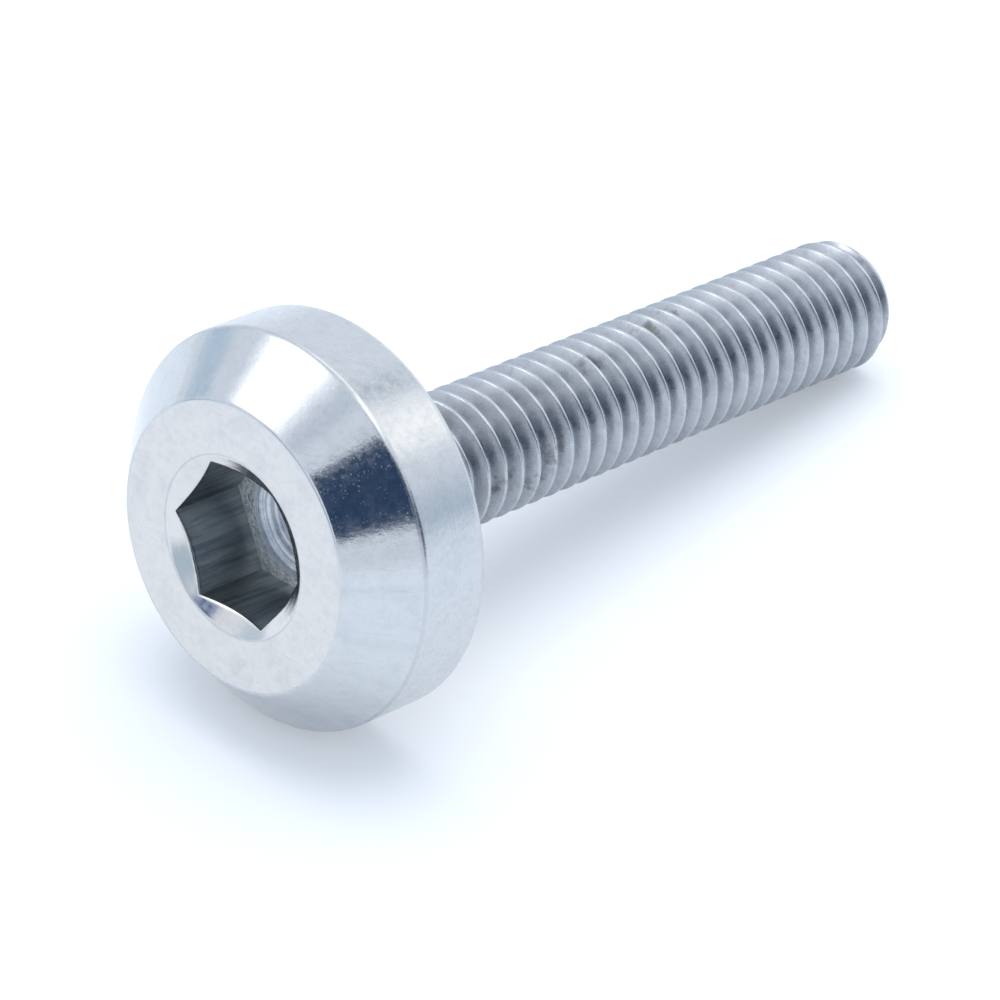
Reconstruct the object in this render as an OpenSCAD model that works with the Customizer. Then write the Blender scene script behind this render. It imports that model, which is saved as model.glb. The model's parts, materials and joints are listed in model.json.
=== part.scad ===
// Socket head bolt with a wide, bevelled head, lying on a flat surface.
// It is turned from one bar: head, hexagon socket and shank are a single solid.
// The bolt is drawn upright, front face up and bearing face at height zero, and then laid down.

/* [Shank] */
// Outer diameter of the threaded shank
thread_d = 6; // [4:0.25:10]
// Length of the shank, from the bearing face of the head to the tip
shank_l = 32; // [12:1:80]
// Length of the bevel at the tip, along the axis
tip_bevel_l = 0.75; // [0.3:0.05:1.5]
// Depth of the bevel at the tip, across the radius
tip_bevel_depth = 0.5; // [0.3:0.05:1]
// Rounding of the edge where the bevel at the tip begins
tip_edge_r = 0.3; // [0.1:0.05:0.6]

/* [Head] */
// Outer diameter of the rim
head_d = 17; // [14:0.5:26]
// Height of the head, from the bearing face to the front face
head_h = 5.75; // [5:0.25:10]
// Height of the straight rim
rim_h = 3.35; // [1.5:0.05:4.75]
// Diameter of the flat front face, up to the cone
face_d = 12.3; // [9.5:0.1:16]
// Rounding of the edge between the front face and the cone
face_edge_r = 0.25; // [0.1:0.05:0.8]
// Rounding of the edge between the cone and the rim
rim_edge_r = 0.35; // [0.1:0.05:1]
// Rounding of the edge between the rim and the bearing face
bearing_edge_r = 0.3; // [0.1:0.05:0.6]

/* [Socket] */
// Width of the hexagon across its flats
socket_af = 6.1; // [4:0.05:7]
// Depth of the hexagon, from the front face
socket_depth = 3.7; // [2.5:0.1:5]
// Turn of the hexagon about the axis, in degrees
socket_turn = 1.6; // [0:0.2:60]
// Diameter of the countersink at the front face
countersink_d = 7.75; // [7.25:0.05:9]
// Included angle of the countersink, in degrees
countersink_angle = 120; // [90:5:140]
// Diameter of the drilled hole whose point forms the socket's floor
drill_d = 5.2; // [3:0.1:5.9]
// Included angle of the drill's point, in degrees
drill_angle = 120; // [100:2:150]

/* [Hidden] */
$fn = 96;
thread_r = thread_d / 2;
tip_r = thread_r - tip_bevel_depth;
head_r = head_d / 2;
face_r = face_d / 2;
hexagon_sides = 6;
hexagon_r = socket_af / 2 / cos(180 / hexagon_sides);
countersink_h = countersink_d / 2 / tan(countersink_angle / 2);
drill_point_h = drill_d / 2 / tan(drill_angle / 2);
// How far a cutting shape stands out of the face that it cuts
overcut = 1;

// Corners of the half section, as [radius, height]
tip_end = [tip_r, -shank_l];
tip_edge = [thread_r, tip_bevel_l - shank_l];
bearing_inner = [thread_r, 0];
bearing_edge = [head_r, 0];
rim_edge = [head_r, rim_h];
face_edge = [face_r, head_h];
face_centre = [0, head_h];

function unit(v) = v / norm(v);
// Half of the angle at the corner q, between its neighbours p and s
function half_angle(p, q, s) = acos(unit(p - q) * unit(s - q)) / 2;
// Where a rounding of radius r at the corner q touches the edge from q to p
function touch(p, q, s, r) = q + unit(p - q) * r / tan(half_angle(p, q, s));
// Centre of that rounding
function rounding_centre(p, q, s, r) = q + unit(unit(p - q) + unit(s - q)) * r / sin(half_angle(p, q, s));

// Centres of the roundings
tip_round = rounding_centre(tip_end, tip_edge, bearing_inner, tip_edge_r);
bearing_round = rounding_centre(bearing_inner, bearing_edge, rim_edge, bearing_edge_r);
rim_round = rounding_centre(bearing_edge, rim_edge, face_edge, rim_edge_r);
face_round = rounding_centre(rim_edge, face_edge, face_centre, face_edge_r);

// The bolt rests on the roundings of its bearing edge and of its tip, and dips to the tip
rest_rise = bearing_round[0] - tip_round[0];
rest_run = bearing_round[1] - tip_round[1];
rest_l = norm([rest_rise, rest_run]);
dip = atan2(rest_rise, rest_run) + asin((bearing_edge_r - tip_edge_r) / rest_l);
// Height of the axis at the bearing face
axis_z = bearing_round[0] * cos(dip) - bearing_round[1] * sin(dip) + bearing_edge_r;
// Front and back ends of the bolt as it lies, measured from the axis at the bearing face
front_of_face = -face_round[1] * cos(dip) - face_round[0] * sin(dip) - face_edge_r;
front_of_rim = -rim_round[1] * cos(dip) - rim_round[0] * sin(dip) - rim_edge_r;
lying_front = min(front_of_face, front_of_rim);
lying_back = shank_l * cos(dip) + tip_r * sin(dip);
axis_y = -(lying_front + lying_back) / 2;

module rounding(centre, r) {
    translate(centre) circle(r);
}

// Half section of the head and shank, from the axis outwards
module half_section() {
    polygon([
        [0, -shank_l],
        tip_end,
        touch(tip_end, tip_edge, bearing_inner, tip_edge_r),
        touch(bearing_inner, tip_edge, tip_end, tip_edge_r),
        bearing_inner,
        touch(bearing_inner, bearing_edge, rim_edge, bearing_edge_r),
        touch(rim_edge, bearing_edge, bearing_inner, bearing_edge_r),
        touch(bearing_edge, rim_edge, face_edge, rim_edge_r),
        touch(face_edge, rim_edge, bearing_edge, rim_edge_r),
        touch(rim_edge, face_edge, face_centre, face_edge_r),
        touch(face_centre, face_edge, rim_edge, face_edge_r),
        face_centre
    ]);
    rounding(tip_round, tip_edge_r);
    rounding(bearing_round, bearing_edge_r);
    rounding(rim_round, rim_edge_r);
    rounding(face_round, face_edge_r);
}

// Everything that is cut out of the front face: hexagon, countersink and drill point
module socket() {
    floor_z = head_h - socket_depth;
    translate([0, 0, floor_z])
        rotate(socket_turn)
            cylinder(h = socket_depth + overcut, r = hexagon_r, $fn = hexagon_sides);
    translate([0, 0, head_h - countersink_h])
        cylinder(h = 2 * countersink_h, r1 = 0, r2 = countersink_d);
    translate([0, 0, floor_z - drill_point_h])
        cylinder(h = drill_point_h, r1 = 0, r2 = drill_d / 2);
}

module upright_bolt() {
    difference() {
        rotate_extrude() half_section();
        socket();
    }
}

module bolt() {
    color([0.72, 0.74, 0.77])
        translate([0, axis_y, axis_z])
            rotate([90 - dip, 0, 0])
                upright_bolt();
}

bolt();
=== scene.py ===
import json
import math

import bmesh
import bpy
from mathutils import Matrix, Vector


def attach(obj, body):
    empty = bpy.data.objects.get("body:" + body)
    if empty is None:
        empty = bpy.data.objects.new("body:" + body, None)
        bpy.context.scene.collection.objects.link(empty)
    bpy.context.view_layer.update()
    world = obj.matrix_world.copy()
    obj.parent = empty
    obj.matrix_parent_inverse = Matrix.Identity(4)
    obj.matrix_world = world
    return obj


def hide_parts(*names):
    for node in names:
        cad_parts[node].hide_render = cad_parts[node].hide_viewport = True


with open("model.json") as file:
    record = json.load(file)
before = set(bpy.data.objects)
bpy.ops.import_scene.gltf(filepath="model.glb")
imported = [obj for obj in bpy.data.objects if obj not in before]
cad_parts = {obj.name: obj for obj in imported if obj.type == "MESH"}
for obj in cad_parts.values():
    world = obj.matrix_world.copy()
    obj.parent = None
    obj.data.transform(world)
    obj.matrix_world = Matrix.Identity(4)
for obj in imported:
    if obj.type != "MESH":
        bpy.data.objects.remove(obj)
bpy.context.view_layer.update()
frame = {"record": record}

MM = 0.001
FULL_TURN = 2 * math.pi

# Where the bolt lies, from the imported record. Its axis runs from the head to the tip.
mounts = {mount["name"]: mount for mount in frame["record"]["mounts"]}
shank_mount = mounts["thread_shank"]
axis = Vector(shank_mount["axis"]).normalized()
bearing_point = Vector(shank_mount["pos_m"]) - axis * shank_mount["dims"]["length_mm"] * MM / 2
face_point = Vector(mounts["hex_socket"]["pos_m"])

# Directions of the upright bolt as it lies: across, towards the front face, and square to both
across = Vector((1, 0, 0))
upward = -axis
beside = upward.cross(across)

# Sizes of the turned form, in mm, with the bolt upright: front face up, bearing face at height zero.
# The shown skin lies a hair inside the solid.
skin = 0.002
thread_r = shank_mount["dims"]["r_mm"]
tip_bevel_l = 0.75
tip_bevel_depth = 0.5
tip_edge_r = 0.3
shank_l = 32.0 - skin
head_h = (face_point - bearing_point).length / MM - skin
head_r = 8.5 - skin
rim_h = 3.35
face_r = 6.15
face_edge_r = 0.25
rim_edge_r = 0.35
bearing_edge_r = 0.3

# The socket: a countersunk hexagon above a drill point. The edge of its mouth is broken a little.
hexagon_sides = 6
socket_af = 6.1
socket_depth = 3.7
socket_turn = math.radians(1.6)
mouth_edge = 0.03
countersink_r = 3.875
countersink_half_angle = math.radians(60)
drill_r = 2.6
drill_half_angle = math.radians(60)
floor_z = head_h - socket_depth
point_z = floor_z - drill_r / math.tan(drill_half_angle)

# The thread: right hand, a little under its nominal outer diameter.
# At angle zero a crest lies at crest_place below the head, in pitches.
# Under the head the thread starts with start_part of its depth, and at start_l it has all of it.
pitch = 1.0
crest_clearance = 0.03
crest_r = thread_r - crest_clearance
thread_depth = 0.6
root_r = crest_r - thread_depth
crest_place = 0.99
start_l = 0.8
start_part = 0.6

# The mesh: columns around the axis, steps in a rounding, and the last plain ring around the thread.
# At the tip, rows stand at two parts of the radius.
columns = 144
column_step = FULL_TURN / columns
rounding_steps = 6
under_end_r = thread_r + 0.2
tip_parts = (0.97, 0.4)
weld_distance = 0.0005 * MM
sharp_angle = math.radians(34)


def angle(j):
    """Angle about the axis of one column of the mesh."""
    return socket_turn + j * column_step


def hexagon_r(j):
    """Distance from the axis to the hexagon's wall, at one column."""
    sector = FULL_TURN / hexagon_sides
    turn = (j * column_step) % sector
    return socket_af / 2 / math.cos(turn - sector / 2)


def lying(x, y, z):
    """Where a place of the upright bolt, in mm, comes to lie."""
    return bearing_point + (across * x + beside * y + upward * z) * MM


def ring(r, z):
    """One row of the mesh with the same radius and height at all columns."""
    return [(r, z)] * columns


def straight(start, end, cuts):
    """Rings on the line from one (r, z) to another, at these parts of the way."""
    (r0, z0), (r1, z1) = start, end
    return [ring(r0 + (r1 - r0) * t, z0 + (z1 - z0) * t) for t in cuts]


def rounding(p, q, s, r):
    """Rings of a rounding of radius r at the corner q, between its neighbours p and s."""
    p, q, s = Vector(p), Vector(q), Vector(s)
    a = (p - q).normalized()
    b = (s - q).normalized()
    half = a.angle(b) / 2
    centre = q + (a + b).normalized() * r / math.sin(half)
    start = q + a * r / math.tan(half) - centre
    end = q + b * r / math.tan(half) - centre
    ways = [start.slerp(end, i / rounding_steps).normalized() for i in range(rounding_steps + 1)]
    return [ring(*(centre + way * r)) for way in ways]


# Depth of the thread's groove over half a pitch, from the crest to the root.
# Each pair is a part of the pitch and a part of the depth. Crest and root are rounded.
half_thread = [
    (0.0, 0.0),
    (0.045, 0.01),
    (0.07, 0.045),
    (0.095, 0.105),
    (0.14, 0.215),
    (0.22, 0.435),
    (0.31, 0.69),
    (0.375, 0.855),
    (0.43, 0.955),
    (0.5, 1.0),
]
# Places of the mesh's rows in one pitch, from one root to just before the next, with the crest at zero
thread_samples = [-t for t, _ in reversed(half_thread[1:])] + [t for t, _ in half_thread[:-1]]


def groove(t):
    """Depth of the groove at t pitches from the crest, as a part of the full depth."""
    t = abs((t + 0.5) % 1.0 - 0.5)
    for (t0, d0), (t1, d1) in zip(half_thread, half_thread[1:]):
        if t <= t1:
            return d0 + (d1 - d0) * (t - t0) / (t1 - t0)
    return 1.0


def smooth_step(t):
    """Smooth rise from 0 to 1, while t goes from 0 to 1."""
    t = min(1.0, max(0.0, t))
    return t * t * (3 - 2 * t)


def shank_r(s):
    """Outer radius of the shank at the distance s below the head: straight, then rounded, then bevelled."""
    bevel = math.atan(tip_bevel_depth / tip_bevel_l)
    corner = shank_l - tip_bevel_l
    past = s - corner + tip_edge_r * math.tan(bevel / 2)
    if past <= 0:
        return thread_r
    if past < tip_edge_r * math.sin(bevel):
        return thread_r - tip_edge_r + math.sqrt(tip_edge_r ** 2 - past ** 2)
    return thread_r - (s - corner) * math.tan(bevel)


def thread_point(s, j):
    """Radius and height of the thread at the distance s below the head, at one column."""
    s = min(shank_l, max(0.0, s))
    t = s / pitch - crest_place + angle(j) / FULL_TURN
    fade = start_part + (1 - start_part) * smooth_step(s / start_l)
    r = crest_r - thread_depth * fade * groove(t)
    return (min(r, shank_r(s)), -s)


def thread_rows():
    """Rows that follow the helix. After one turn, a row runs on in the row that is one pitch further up."""
    # A turn more at each end covers the whole shank, and thread_point holds it back at the ends
    turns = range(-1, math.ceil(shank_l / pitch) + 2)
    places = [n + t + crest_place for n in turns for t in thread_samples]

    def below_head(place, j):
        return pitch * (place - angle(j) / FULL_TURN)

    return [[thread_point(below_head(place, j), j) for j in range(columns)] for place in places]


def countersink_z(r):
    """Height of the countersink at a distance from the axis."""
    return head_h - (countersink_r - r) / math.tan(countersink_half_angle)


def fringe_point(j, t):
    """Radius and height on the flat around the drilled hole, at one column and part of the way outwards."""
    return (drill_r + (hexagon_r(j) - drill_r) * t, floor_z)


def wall_point(j, t):
    """The same on the hexagon's wall, which the countersink cuts off in scallops."""
    top_z = countersink_z(hexagon_r(j)) - mouth_edge
    return (hexagon_r(j), floor_z + (top_z - floor_z) * t)


def countersink_point(j, t):
    """The same on the countersink, from the hexagon outwards."""
    start = hexagon_r(j) + mouth_edge
    r = start + (countersink_r - start) * t
    return (r, countersink_z(r))


def rows_of(point, cuts):
    """Rows of the mesh through one of these points, at these parts of the way."""
    return [[point(j, t) for j in range(columns)] for t in cuts]


def head_rows():
    """Rows from the socket's floor, over the face and the rim, to the underside, each with its zone."""
    face_edge = (face_r, head_h)
    rim_edge = (head_r, rim_h)
    bearing_edge = (head_r, 0)
    face_round = rounding((0, head_h), face_edge, rim_edge, face_edge_r)
    rim_round = rounding(face_edge, rim_edge, bearing_edge, rim_edge_r)
    bearing_round = rounding(rim_edge, bearing_edge, (thread_r, 0), bearing_edge_r)
    # Cuts close to the end of a stretch keep its edge crisp
    zones = [
        ("floor", straight((0, point_z), (drill_r, floor_z), (0.02, 0.15, 0.3, 0.5, 0.7, 0.9, 1.0))),
        ("fringe", rows_of(fringe_point, (0.1, 0.5, 0.9, 1.0))),
        ("wall", rows_of(wall_point, (0.03, 0.2, 0.4, 0.6, 0.8, 0.96, 1.0))),
        ("countersink", rows_of(countersink_point, (0.0, 0.15, 0.5, 0.85, 1.0))),
        ("face", straight((countersink_r, head_h), face_round[0][0], (0.03, 0.25, 0.5, 0.75, 0.97, 1.0))),
        ("cone", face_round[1:]),
        ("cone", straight(face_round[-1][0], rim_round[0][0], (0.04, 0.3, 0.5, 0.7, 0.96, 1.0))),
        ("rim", rim_round[1:]),
        ("rim", straight(rim_round[-1][0], bearing_round[0][0], (0.05, 0.3, 0.6, 0.95, 1.0))),
        ("rim", bearing_round[1:]),
        ("under", straight(bearing_round[-1][0], (under_end_r, 0), (0.03, 0.35, 0.7, 1.0))),
    ]
    return [(zone, row) for zone, rows in zones for row in rows]


def bolt_mesh(zone_names):
    """One closed skin: rows of the head, rows of the helix, the end of the shank. Zones are materials."""
    bm = bmesh.new()

    def verts(row):
        points = [(r * math.cos(angle(j)), r * math.sin(angle(j)), z) for j, (r, z) in enumerate(row)]
        return [bm.verts.new(lying(*point)) for point in points]

    def face(corners, zone):
        bm.faces.new(corners).material_index = zone_names.index(zone)

    def quads(upper, lower, zone, runs_on=None):
        """Faces between two rows; runs_on is the pair of rows in which the last column runs on."""
        next_upper, next_lower = runs_on or (upper, lower)
        for j in range(columns):
            k = j + 1
            right = (next_upper[0], next_lower[0]) if k == columns else (upper[k], lower[k])
            # In the first turn of the helix both right corners can be one, which leaves a triangle
            face(list(dict.fromkeys((upper[j], *right, lower[j]))), zone)

    def fan(z, row, zone):
        """Triangles from a point on the axis to a row."""
        centre = bm.verts.new(lying(0, 0, z))
        for j in range(columns):
            face((centre, row[j], row[(j + 1) % columns]), zone)

    head = [(zone, verts(row)) for zone, row in head_rows()]
    fan(point_z, head[0][1], "floor")
    for (_, inner), (zone, outer) in zip(head, head[1:]):
        quads(inner, outer, zone)

    helix_rows = thread_rows()
    helix = [verts(row) for row in helix_rows]
    quads(head[-1][1], helix[0], "under")
    for m in range(len(helix) - 1):
        back = max(m - len(thread_samples), 0)
        next_back = max(m + 1 - len(thread_samples), 0)
        quads(helix[m], helix[m + 1], "thread", (helix[back], helix[next_back]))

    end = helix[-1]
    for part in tip_parts:
        inner = verts([(part * r, -shank_l) for r, _ in helix_rows[-1]])
        quads(end, inner, "tip")
        end = inner
    fan(-shank_l, end, "tip")

    bmesh.ops.remove_doubles(bm, verts=bm.verts, dist=weld_distance)
    bmesh.ops.dissolve_degenerate(bm, edges=bm.edges, dist=weld_distance)
    bmesh.ops.recalc_face_normals(bm, faces=bm.faces)
    mesh = bpy.data.meshes.new("bolt_body")
    bm.to_mesh(mesh)
    bm.free()
    mesh.shade_smooth()
    mesh.set_sharp_from_angle(angle=sharp_angle)
    return mesh


class Nodes:
    """Short ways to add nodes to one tree."""

    def __init__(self, tree):
        self.tree = tree

    def set(self, socket, value):
        """Gives a socket a value, or links it to another node's output."""
        if isinstance(value, bpy.types.NodeSocket):
            self.tree.links.new(value, socket)
        else:
            socket.default_value = value

    def add(self, kind, inputs, out=0, **settings):
        """One node with these inputs, by name or number; gives the output."""
        node = self.tree.nodes.new(kind)
        for name, value in settings.items():
            setattr(node, name, value)
        for key, value in inputs.items():
            self.set(node.inputs[key], value)
        return None if out is None else node.outputs[out]

    def math(self, operation, a, b=0.0):
        """Result of one operation on two values."""
        return self.add("ShaderNodeMath", {0: a, 1: b}, operation=operation)

    def times(self, value, factor):
        """Product of two values."""
        return self.math("MULTIPLY", value, factor)

    def total(self, parts):
        """Sum of several values."""
        result = parts[0]
        for part in parts[1:]:
            result = self.math("ADD", result, part)
        return result

    def vector(self, operation, a, b=(0.0, 0.0, 0.0), out="Vector"):
        """Result of one operation on two vectors."""
        return self.add("ShaderNodeVectorMath", {0: a, 1: b}, out, operation=operation)

    def range(self, value, low, high, to_low=0.0, to_high=1.0):
        """Smooth step of a value from one range to another."""
        inputs = {0: value, 1: low, 2: high, 3: to_low, 4: to_high}
        return self.add("ShaderNodeMapRange", inputs, interpolation_type="SMOOTHSTEP")

    def noise(self, place, scale, detail=2.0):
        """Uneven value between 0 and 1."""
        inputs = {"Vector": place, "Scale": scale, "Detail": detail, "Roughness": 0.6}
        return self.add("ShaderNodeTexNoise", inputs)

    def rays(self):
        """Whether a place is seen by the camera itself, and whether it is seen in metal or through glass."""
        path = self.tree.nodes.new("ShaderNodeLightPath")
        mirrored = self.math("MAXIMUM", path.outputs["Is Glossy Ray"], path.outputs["Is Transmission Ray"])
        return path.outputs["Is Camera Ray"], mirrored


def new_material(name):
    """A material with the nodes that Blender starts it with."""
    material = bpy.data.materials.new(name)
    material.use_nodes = True
    return material


class Steel(Nodes):
    """Shader nodes of one finish of the steel. Places and lengths are in mm on the upright bolt."""

    # Part of a line's or stain's width that has its full strength
    core = 0.3

    def __init__(self, name):
        self.material = new_material(name)
        super().__init__(self.material.node_tree)
        place = self.vector("SUBTRACT", self.add("ShaderNodeTexCoord", {}, "Object"), bearing_point)
        parts = [self.vector("DOT_PRODUCT", place, way / MM, "Value") for way in (across, beside, upward)]
        self.mm = self.add("ShaderNodeCombineXYZ", dict(enumerate(parts)))
        self.height = parts[2]
        flat = self.vector("MULTIPLY", self.mm, (1.0, 1.0, 0.0))
        self.distance = self.vector("LENGTH", flat, out="Value")
        self.direction = self.vector("NORMALIZE", flat)

    def grain(self, scale, amount, detail=2.0):
        """Fine unevenness all over."""
        return self.times(self.noise(self.mm, scale, detail), amount)

    def mottle(self, scale, amount):
        """Soft blotches."""
        return self.range(self.noise(self.mm, scale, detail=4.0), low=0.45, high=0.72, to_high=amount)

    def specks(self, scale, amount):
        """Small scattered dots."""
        return self.range(self.noise(self.mm, scale, detail=1.0), low=0.68, high=0.78, to_high=amount)

    def scratches(self, turn, amount):
        """Fine straight scratches, at one angle about the axis in degrees."""
        inputs = {"Vector": self.mm, "Rotation": (0.0, 0.0, math.radians(turn)), "Scale": (0.35, 11.0, 0.35)}
        place = self.add("ShaderNodeMapping", inputs)
        return self.range(self.noise(place, scale=1.0, detail=1.0), low=0.69, high=0.75, to_high=amount)

    def turned(self, along, scale, amount=1.0):
        """Turning lines, uneven along one length and the same all round."""
        inputs = {"W": along, "Scale": scale, "Detail": 3.0}
        return self.times(self.add("ShaderNodeTexNoise", inputs, noise_dimensions="1D"), amount)

    def near(self, value, place, width, amount):
        """A thin line where a value comes near a given one."""
        gap = self.math("ABSOLUTE", self.math("SUBTRACT", value, place))
        return self.range(gap, self.core * width, width, to_low=amount, to_high=0.0)

    def spots(self, places, size, amount):
        """Stains with frayed edges around given places."""
        fray = self.range(self.noise(self.mm, scale=2.0), low=0.25, high=0.75, to_low=0.6, to_high=1.4)
        marks = []
        for place in places:
            gap = self.times(self.vector("DISTANCE", self.mm, place, "Value"), fray)
            marks.append(self.range(gap, self.core * size, size, to_low=amount, to_high=0.0))
        return self.total(marks)

    def mix(self, part, a, b):
        """Colour between two others. The numbers are those of the node's sockets for colours."""
        return self.add("ShaderNodeMix", {0: part, 6: a, 7: b}, 2, data_type="RGBA")

    def finish(self, tint, dark, rough, tone, relief, stain=0.0):
        """The material. Its tones add up and lead from the tint to the darker colour, stain leads to brown.

        The roughness lies between two values, and the reliefs add up to a height in mm.
        """
        shader = self.tree.nodes["Principled BSDF"]
        colour = self.mix(self.total(tone), (*tint, 1.0), (*dark, 1.0))
        roughness = self.range(self.noise(self.mm, scale=3.0, detail=4.0), 0.3, 0.7, *rough)
        bump = {"Height": self.total(relief), "Strength": 1.0, "Distance": MM}
        self.set(shader.inputs["Base Color"], self.mix(stain, colour, (*brown, 1.0)))
        self.set(shader.inputs["Metallic"], 1.0)
        self.set(shader.inputs["Roughness"], roughness)
        self.set(shader.inputs["Normal"], self.add("ShaderNodeBump", bump))
        return self.material


# Colours of the steel
satin = (0.68, 0.665, 0.65)
bright = (0.595, 0.62, 0.638)
dull = (0.425, 0.445, 0.463)
deep = (0.1, 0.135, 0.2)
torn = (0.9, 0.9, 0.89)
broached = (0.41, 0.44, 0.44)
rolled = (0.5, 0.53, 0.565)
rolled_dark = (0.11, 0.125, 0.155)
brown = (0.1, 0.09, 0.082)


def floor_finish():
    """Drill point with turned streaks."""
    m = Steel("steel_floor")
    streaks = m.turned(m.distance, scale=4.0)
    tone = [m.range(streaks, low=0.38, high=0.62, to_high=0.6), m.mottle(scale=2.0, amount=0.2)]
    return m.finish(bright, deep, (0.2, 0.35), tone, [m.times(streaks, 0.04)])


def fringe_finish():
    """Pale, torn metal that the broach left around the drilled hole."""
    m = Steel("steel_fringe")
    tone = [m.mottle(scale=4.0, amount=0.4)]
    return m.finish(torn, deep, (0.5, 0.65), tone, [m.grain(scale=6.0, amount=0.12, detail=3.0)])


def wall_finish():
    """Broached wall: lines along the axis."""
    m = Steel("steel_wall")
    along = m.vector("MULTIPLY", m.mm, (1.0, 1.0, 0.06))
    lines = m.noise(along, scale=3.2, detail=4.0)
    tone = [m.range(lines, low=0.35, high=0.7, to_high=0.7)]
    return m.finish(broached, deep, (0.3, 0.42), tone, [m.times(lines, 0.03)])


def countersink_finish():
    """Smooth countersink: faint blotches, turned rings and a thin line at the face."""
    m = Steel("steel_countersink")
    burr = m.near(m.distance, countersink_r, width=0.05, amount=0.5)
    tone = [m.mottle(scale=1.5, amount=0.25), burr]
    return m.finish(satin, dull, (0.12, 0.2), tone, [m.turned(m.distance, scale=8.0, amount=0.003)])


def face_finish():
    """Satin face: faint smudges, a few scuffs and the thin line around the countersink."""
    m = Steel("steel_face")
    burr = m.near(m.distance, countersink_r, width=0.06, amount=0.45)
    smudges = [m.mottle(scale=0.8, amount=0.22), m.mottle(scale=3.0, amount=0.15)]
    scuffs = [m.scratches(turn=35, amount=0.2), m.scratches(turn=112, amount=0.25)]
    relief = [m.turned(m.distance, scale=8.0, amount=0.0015), m.grain(scale=7.0, amount=0.003)]
    return m.finish(satin, dull, (0.26, 0.36), [*smudges, *scuffs, burr], relief)


def cone_finish():
    """Polished cone: faint radial bands, small pits that sparkle, fine scratches."""
    m = Steel("steel_cone")
    bands = m.range(m.noise(m.direction, scale=9.0, detail=4.0), low=0.4, high=0.7, to_high=0.15)
    smudges = [m.mottle(scale=1.2, amount=0.22), m.mottle(scale=5.0, amount=0.18)]
    tone = [bands, *smudges, m.scratches(turn=70, amount=0.3)]
    pits = m.specks(scale=12.0, amount=0.0018)
    relief = [pits, m.turned(m.height, scale=10.0, amount=0.001), m.grain(scale=5.0, amount=0.003)]
    return m.finish(bright, dull, (0.1, 0.18), tone, relief)


def rim_finish():
    """Satin rim: fine lines all round, smudges, greyer bands at both edges."""
    m = Steel("steel_rim")
    worn = m.range(m.height, low=0.1, high=0.45, to_low=0.35, to_high=0.0)
    # A thin darker line all round, on the rounded edge between the rim and the cone
    dark_rim_line = m.near(m.height, rim_h + 0.05, width=0.15, amount=0.25)
    lines = m.turned(m.height, scale=9.0)
    smudges = [m.mottle(scale=1.3, amount=0.22), m.mottle(scale=4.0, amount=0.2)]
    tone = [*smudges, m.range(lines, low=0.45, high=0.7, to_high=0.1), worn, dark_rim_line]
    relief = [m.times(lines, 0.0015), m.grain(scale=5.0, amount=0.004)]
    return m.finish(bright, dull, (0.2, 0.3), tone, relief)


def under_finish():
    """Bearing face under the head: turned rings."""
    m = Steel("steel_under")
    rings = m.turned(m.distance, scale=5.0)
    tone = [m.range(rings, low=0.4, high=0.65, to_high=0.4), m.mottle(scale=1.3, amount=0.3)]
    return m.finish(satin, dull, (0.22, 0.32), tone, [m.times(rings, 0.006)])


# Stains in the grooves, as (angle about the axis in degrees, height)
stain_places = [(-11, -9.2), (-3, -7.1), (11, -10.0), (91, -18.2), (79, -14.1), (105, -20.1)]


def around(turn, r, z):
    """A place on the upright bolt, from its angle in degrees, distance from the axis and height."""
    return (r * math.cos(math.radians(turn)), r * math.sin(math.radians(turn)), z)


def thread_finish():
    """Rolled thread: clear crests over flanks and roots with painted shade, darkest in the roots, brown
    stains in a few grooves.
    """
    m = Steel("steel_thread")
    # The painted shade in the roots ends before the bevel at the tip
    threaded = m.range(m.height, low=0.7 - shank_l, high=1.1 - shank_l)
    # Painted shade: the roots darker towards the bottom of the groove, and all below the crests a little
    # darker
    painted_root_shade = m.range(m.distance, low=root_r + 0.15, high=root_r + 0.5, to_low=0.15, to_high=0.0)
    painted_shade_below_crest = m.range(m.distance, low=crest_r - 0.07, high=crest_r - 0.02, to_low=0.1, to_high=0.0)
    smudges = [m.mottle(scale=0.7, amount=0.12), m.mottle(scale=2.0, amount=0.15)]
    tone = [m.times(painted_root_shade, threaded), painted_shade_below_crest, *smudges]
    stains = m.spots([around(turn, root_r, z) for turn, z in stain_places], size=0.7, amount=0.75)
    return m.finish(rolled, rolled_dark, (0.24, 0.34), tone, [m.grain(scale=2.5, amount=0.006)], stains)


def tip_finish():
    """Sawn and faced end: faint rings."""
    m = Steel("steel_tip")
    rings = m.turned(m.distance, scale=4.0)
    tone = [m.range(rings, low=0.4, high=0.65, to_high=0.5), m.mottle(scale=1.5, amount=0.4)]
    return m.finish(bright, dull, (0.28, 0.38), tone, [m.times(rings, 0.008)])


# The bolt, with one finish for each zone of its mesh
finishes = {
    "floor": floor_finish,
    "fringe": fringe_finish,
    "wall": wall_finish,
    "countersink": countersink_finish,
    "face": face_finish,
    "cone": cone_finish,
    "rim": rim_finish,
    "under": under_finish,
    "thread": thread_finish,
    "tip": tip_finish,
}
bolt = bpy.data.objects.new("bolt_body", bolt_mesh(list(finishes)))
bpy.context.scene.collection.objects.link(bolt)
for finish in finishes.values():
    bolt.data.materials.append(finish())
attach(bolt, "root")
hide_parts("bolt")


def toward(azimuth, elevation):
    """Direction from the bolt, with azimuth 0 at -Y, turning to +X."""
    a, e = math.radians(azimuth), math.radians(elevation)
    return Vector((math.sin(a) * math.cos(e), -math.cos(a) * math.cos(e), math.sin(e)))


def facing(direction):
    """Rotation that turns an object's -Z against a direction, upright."""
    return direction.to_track_quat("Z", "Y")


def sheet(name, half_w, half_h):
    """A flat rectangle, level and around the origin."""
    corners = [(-half_w, -half_h, 0), (half_w, -half_h, 0), (half_w, half_h, 0), (-half_w, half_h, 0)]
    mesh = bpy.data.meshes.new(name)
    mesh.from_pydata(corners, [], [(0, 1, 2, 3)])
    made = bpy.data.objects.new(name, mesh)
    bpy.context.scene.collection.objects.link(made)
    return made


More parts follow.
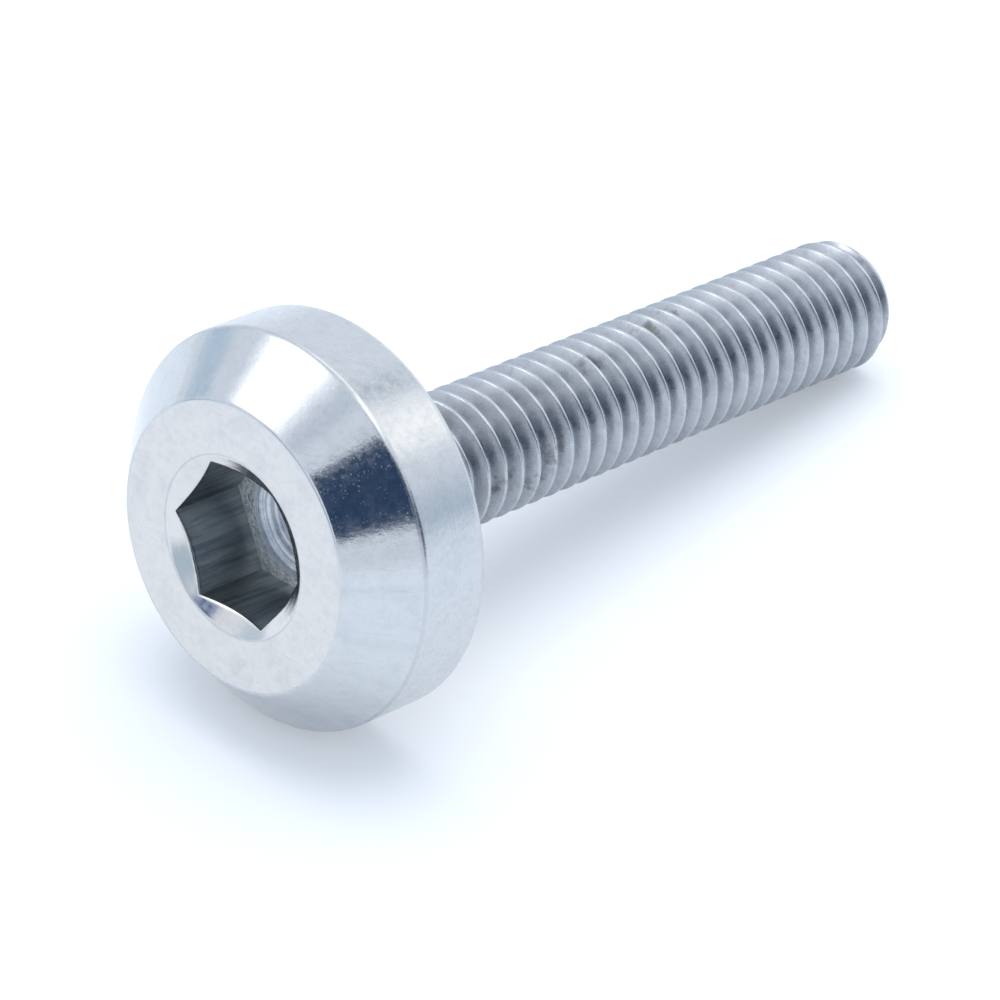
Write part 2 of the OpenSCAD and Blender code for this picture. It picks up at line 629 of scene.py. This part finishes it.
# Camera: the point at the middle of its view, the direction and distance from there, and the lens, in mm
view_point = Vector((0.383, -3.495, 3.917)) * MM
view_from = toward(azimuth=44.4116, elevation=37.089)
view_distance = 213.0
camera = bpy.data.objects.new("camera", bpy.data.cameras.new("camera"))
bpy.context.scene.collection.objects.link(camera)
camera.data.sensor_width = 36.0
camera.data.lens = 183.2
camera.data.clip_start = 0.01
camera.data.clip_end = 10.0
camera.location = view_point + view_from * view_distance * MM
camera.rotation_mode = "QUATERNION"
camera.rotation_quaternion = facing(view_from)
bpy.context.scene.camera = camera

# Floor: white paper. A part of what is seen of it is plain white, so that its shadows stay pale.
floor_half = 1.5
plain_part = 0.25
floor = sheet("floor", floor_half, floor_half)
paper = new_material("paper")
paper_shader = paper.node_tree.nodes["Principled BSDF"]
paper_shader.inputs["Base Color"].default_value = (0.92, 0.93, 0.95, 1.0)
paper_shader.inputs["Roughness"].default_value = 0.9
paper_shader.inputs["Specular IOR Level"].default_value = 0.0
page = Nodes(paper.node_tree)
plain = page.add("ShaderNodeEmission", {"Color": (0.97, 0.985, 1.0, 1.0), "Strength": 1.0})
plain_seen = page.times(page.math("MAXIMUM", *page.rays()), plain_part)
pale = page.add("ShaderNodeMixShader", {0: plain_seen, 1: paper_shader.outputs[0], 2: plain})
page.set(paper.node_tree.nodes["Material Output"].inputs[0], pale)
floor.data.materials.append(paper)

# Surroundings: white for the camera, pale for reflections, a soft bluish fill for the floor
world = bpy.data.worlds.new("studio")
bpy.context.scene.world = world
world.use_nodes = True
world.node_tree.nodes.clear()
sky = Nodes(world.node_tree)
by_camera, mirrored = sky.rays()
fill = sky.add("ShaderNodeBackground", {"Color": (0.76, 0.885, 1.06, 1.0), "Strength": 0.98})
mirror = sky.add("ShaderNodeBackground", {"Color": (0.9, 0.96, 1.06, 1.0), "Strength": 1.07})
backdrop = sky.add("ShaderNodeBackground", {"Color": (1.0, 1.0, 1.0, 1.0), "Strength": 1.0})
unseen = sky.add("ShaderNodeMixShader", {0: mirrored, 1: fill, 2: mirror})
shown = sky.add("ShaderNodeMixShader", {0: by_camera, 1: unseen, 2: backdrop})
sky.add("ShaderNodeOutputWorld", {0: shown}, None)

# One broad, soft light from above. Reflections show the cards instead of it.
key_data = bpy.data.lights.new("key", "SUN")
key_data.angle = math.radians(53)
key_data.energy = 1.5
key_data.color = (1.0, 0.97, 0.93)
key = bpy.data.objects.new("key", key_data)
key.rotation_mode = "QUATERNION"
key.rotation_quaternion = facing(toward(azimuth=-160, elevation=80))
key.visible_glossy = False
bpy.context.scene.collection.objects.link(key)


def card(name, at, size, colour, soft, strength=1.0, distance=0.5, middle=Vector()):
    """A card that only reflections see, with edges that fade over the soft part of its half width.

    It stands at an azimuth and elevation around the middle. Its width and height are angles, in degrees.
    """
    half_w, half_h = (distance * math.tan(math.radians(across_angle / 2)) for across_angle in size)
    made = sheet(name, half_w, half_h)
    direction = toward(*at)
    made.location = middle + direction * distance
    made.rotation_mode = "QUATERNION"
    made.rotation_quaternion = facing(direction)
    material = new_material(name)
    material.node_tree.nodes.clear()
    n = Nodes(material.node_tree)
    place = n.vector("DIVIDE", n.add("ShaderNodeTexCoord", {}, "Object"), (half_w, half_h, 1.0))
    part = n.vector("ABSOLUTE", place)
    sides = [n.add("ShaderNodeSeparateXYZ", {0: part}, name) for name in ("X", "Y")]
    fades = [n.range(side, 1 - soft, 1.0, to_low=1.0, to_high=0.0) for side in sides]
    glow = n.add("ShaderNodeEmission", {"Color": (*colour, 1.0), "Strength": strength})
    clear = n.add("ShaderNodeBsdfTransparent", {})
    mixed = n.add("ShaderNodeMixShader", {0: n.times(*fades), 1: clear, 2: glow})
    n.add("ShaderNodeOutputMaterial", {0: mixed}, None)
    made.data.materials.append(material)
    made.visible_camera = False
    made.visible_diffuse = False
    made.visible_shadow = False


# Lights, pale cards and dark cards all round the bolt
white = (1.0, 1.0, 1.0)
card("softbox", (-54, 50), (42, 34), white, soft=0.75, strength=2.96)
card("overhead", (100, 74), (40, 24), white, soft=0.4, strength=2.4)
card("dark_card", (53, 35.5), (54, 39), (0.032, 0.068, 0.148), soft=0.2)
card("dark_side", (104, 13), (48, 46), (0.07, 0.11, 0.17), soft=0.4)
card("top_back", (190, 62), (70, 26), white, soft=0.5, strength=1.7)
card("grey_top", (-6, 58), (14, 9), (0.76, 0.84, 0.96), soft=0.5)
card("back_low", (186, 14), (70, 30), (0.95, 1.0, 1.06), soft=0.5, strength=1.36)
card("grey_left", (-84, 14), (24, 18), (0.7, 0.86, 1.02), soft=0.4)
card("grey_right", (135, 8), (26, 18), (0.64, 0.76, 0.91), soft=0.4)
card("bright_back", (158, 35), (28, 18), (1.0, 0.99, 0.98), soft=0.4, strength=1.6)
# A dark card that reflections show as a dark line across the rim
card("dark_rim_line", (-177, 40), (9, 14), (0.38, 0.48, 0.59), soft=0.5)

# Small cards close to the head, for what the countersink shows
mouth = lying(-1.0, -3.4, head_h)
card("grey_front", (2, 14), (40, 24), (0.53, 0.67, 0.8), soft=0.5, distance=0.06, middle=mouth)
card("navy_front", (-19, 26), (22, 12), (0.048, 0.12, 0.336), soft=0.6, distance=0.055, middle=mouth)
card("grey_side", (-58, 9), (28, 20), (0.67, 0.8, 0.96), soft=0.5, distance=0.06, middle=mouth)

bpy.context.scene.view_settings.view_transform = "Standard"
